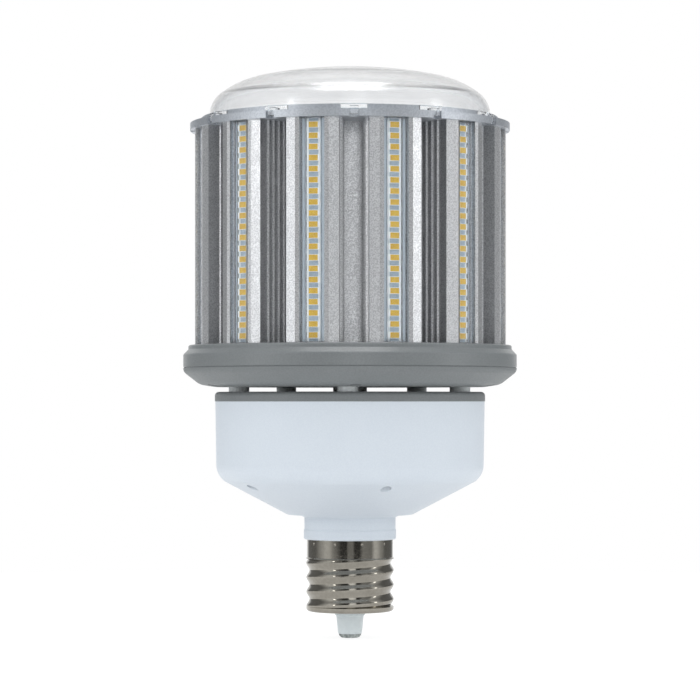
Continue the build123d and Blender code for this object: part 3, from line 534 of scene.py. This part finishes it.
def build_package():
    """One package lying on the XY plane, long side along X, looking up."""
    part = bmesh.new()
    bmesh.ops.create_cube(part, size=1.0)
    bmesh.ops.scale(part, vec=PACKAGE, verts=part.verts)
    bmesh.ops.translate(part, vec=(0, 0, PACKAGE[2] / 2), verts=part.verts)
    upright = [
        edge for edge in part.edges
        if abs(edge.verts[0].co.z - edge.verts[1].co.z) > PACKAGE_EDGE
    ]
    bmesh.ops.bevel(
        part, geom=upright, offset=PACKAGE_EDGE * 2, offset_type="OFFSET", segments=2, profile=0.5,
        affect="EDGES", material=-1,
    )
    top = max(part.faces, key=lambda face: face.calc_center_median().z)
    # The inset keeps the window's width, and the scale then brings its length in.
    inset_length = PACKAGE[0] - PACKAGE[1] + WINDOW[1]
    bmesh.ops.inset_region(part, faces=[top], thickness=(PACKAGE[1] - WINDOW[1]) / 2, depth=0)
    bmesh.ops.scale(part, vec=(WINDOW[0] / inset_length, 1, 1), verts=top.verts)
    bmesh.ops.inset_region(part, faces=[top], thickness=PACKAGE_EDGE, depth=-WINDOW_SINK)
    top.material_index = 1
    for side in (-1, 1):
        made = bmesh.ops.create_cube(part, size=1.0)["verts"]
        bmesh.ops.scale(part, vec=PAD, verts=made)
        offset = side * (PACKAGE[0] + PAD[0]) / 2
        bmesh.ops.translate(part, vec=(offset, 0, PAD[2] / 2), verts=made)
        for face in {face for vert in made for face in vert.link_faces}:
            face.material_index = 2
    return part


def place_packages(name, placements, replaced):
    """One piece of packages at the given placements, standing for a CAD node."""
    gathered = bmesh.new()
    for placement in placements:
        part = build_package()
        bmesh.ops.transform(part, matrix=placement, verts=part.verts)
        single = bpy.data.meshes.new("package")
        part.to_mesh(single)
        part.free()
        gathered.from_mesh(single)
        bpy.data.meshes.remove(single)
    mesh = bpy.data.meshes.new(name)
    gathered.to_mesh(mesh)
    gathered.free()
    for material in (frame_white, phosphor, tinned):
        mesh.materials.append(material)
    piece = bpy.data.objects.new(name, mesh)
    scene.collection.objects.link(piece)
    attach(piece, "root")
    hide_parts(replaced)


LED_COUNT = 20
LED_PITCH = 0.00466
LED_FACE_R = 0.0651
for index, number in enumerate(STRIPS):
    low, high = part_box("led_column_" + number)
    turn = Matrix.Rotation(radians((index + 0.5) * ARM_ANGLE), 4, "Z")
    tilt = Matrix.Rotation(radians(90), 4, "X")
    middle = (low.z + high.z) / 2
    column = []
    for step in range(LED_COUNT):
        height = middle + (step - (LED_COUNT - 1) / 2) * LED_PITCH
        column.append(turn @ Matrix.Translation((0, -LED_FACE_R, height)) @ tilt)
    place_packages("led_packages_" + number, column, "led_column_" + number)

# The rings on the top board, as a count and a radius. They don't show in the photograph.
TOP_RINGS = ((6, 0.011), (12, 0.023), (24, 0.0475))
top_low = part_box("top_leds")[0]
rings = []
for count, radius in TOP_RINGS:
    for step in range(count):
        turn = Matrix.Rotation(radians(360 / count * (step + 0.5)), 4, "Z")
        rings.append(turn @ Matrix.Translation((0, -radius, top_low.z)))
place_packages("top_led_packages", rings, "top_leds")


# Strip covers and dome.
# Clear plastic: twelve extruded strips slid in front of the LEDs, and a moulded dome whose lugs
# and fingers drop into the ring's notches. Which plastic isn't known; it refracts as acrylic does.
CLEAR_IOR = 1.49


def clear_plastic(name, tint, rough, bump, frosting=None):
    """Clear moulded plastic with a faint waviness of its surface, frosted where that is asked."""
    material = bpy.data.materials.new(name)
    material.use_nodes = True
    finish = Finish(material.node_tree)
    place = finish.add("ShaderNodeTexCoord").outputs["Object"]
    values = {
        "Vector": place, "Scale": 300.0, "Cloud Scale": 60.0, "Cloud Share": 0.5,
        "Light": (*tint, 1), "Dark": (*(0.985 * tone for tone in tint), 1),
        "Smooth": rough, "Rough": rough * 1.4,
    }
    group = finish.add("ShaderNodeGroup", values, node_tree=grain_group)
    roughness = group.outputs["Roughness"]
    if frosting:
        roughness = frosting(finish, place, roughness)
    relief = finish.add(
        "ShaderNodeBump",
        {"Height": group.outputs["Height"], "Strength": bump[0], "Distance": bump[1]},
    )
    skin = finish.add(
        "ShaderNodeBsdfPrincipled",
        {
            "Base Color": group.outputs["Color"],
            "Roughness": roughness,
            "Normal": relief.outputs["Normal"],
            "Transmission Weight": 1.0,
            "IOR": CLEAR_IOR,
        },
    )
    finish.add("ShaderNodeOutputMaterial", {"Surface": skin.outputs[0]})
    return material


RIDGE_BASE_R = 0.0664
SHOULDER_IN = 0.0027
SHOULDER_OUT = 0.0037
SHOULDER_BLUR = 0.0002
SHOULDER_ROUGH = 0.55


def frosted_shoulders(finish, place, rough):
    """The ridge's two shoulders, frosted to catch light where the photograph has white glints."""
    across, reach = strip_place(finish, place)
    inside = finish.ramp(across, SHOULDER_IN, SHOULDER_IN + SHOULDER_BLUR)
    outside = finish.ramp(across, SHOULDER_OUT, SHOULDER_OUT + SHOULDER_BLUR, 1.0, 0.0)
    raised = finish.ramp(reach, RIDGE_BASE_R, RIDGE_BASE_R + SHOULDER_BLUR)
    mask = finish.maths("MULTIPLY", raised, finish.maths("MULTIPLY", inside, outside))
    mixed = finish.add("ShaderNodeMix", {"Factor": mask, "A": rough, "B": SHOULDER_ROUGH})
    return mixed.outputs["Result"]


cover_plastic = clear_plastic(
    "clear_cover", (0.97, 0.985, 1.0), 0.04, (0.02, 0.0001), frosted_shoulders,
)
dress(["strip_cover_" + number for number in STRIPS], cover_plastic)
dome_plastic = clear_plastic("clear_dome", (0.99, 0.995, 1.0), 0.13, (0.0, 0.0001))
dress(["dome_lens"], dome_plastic)
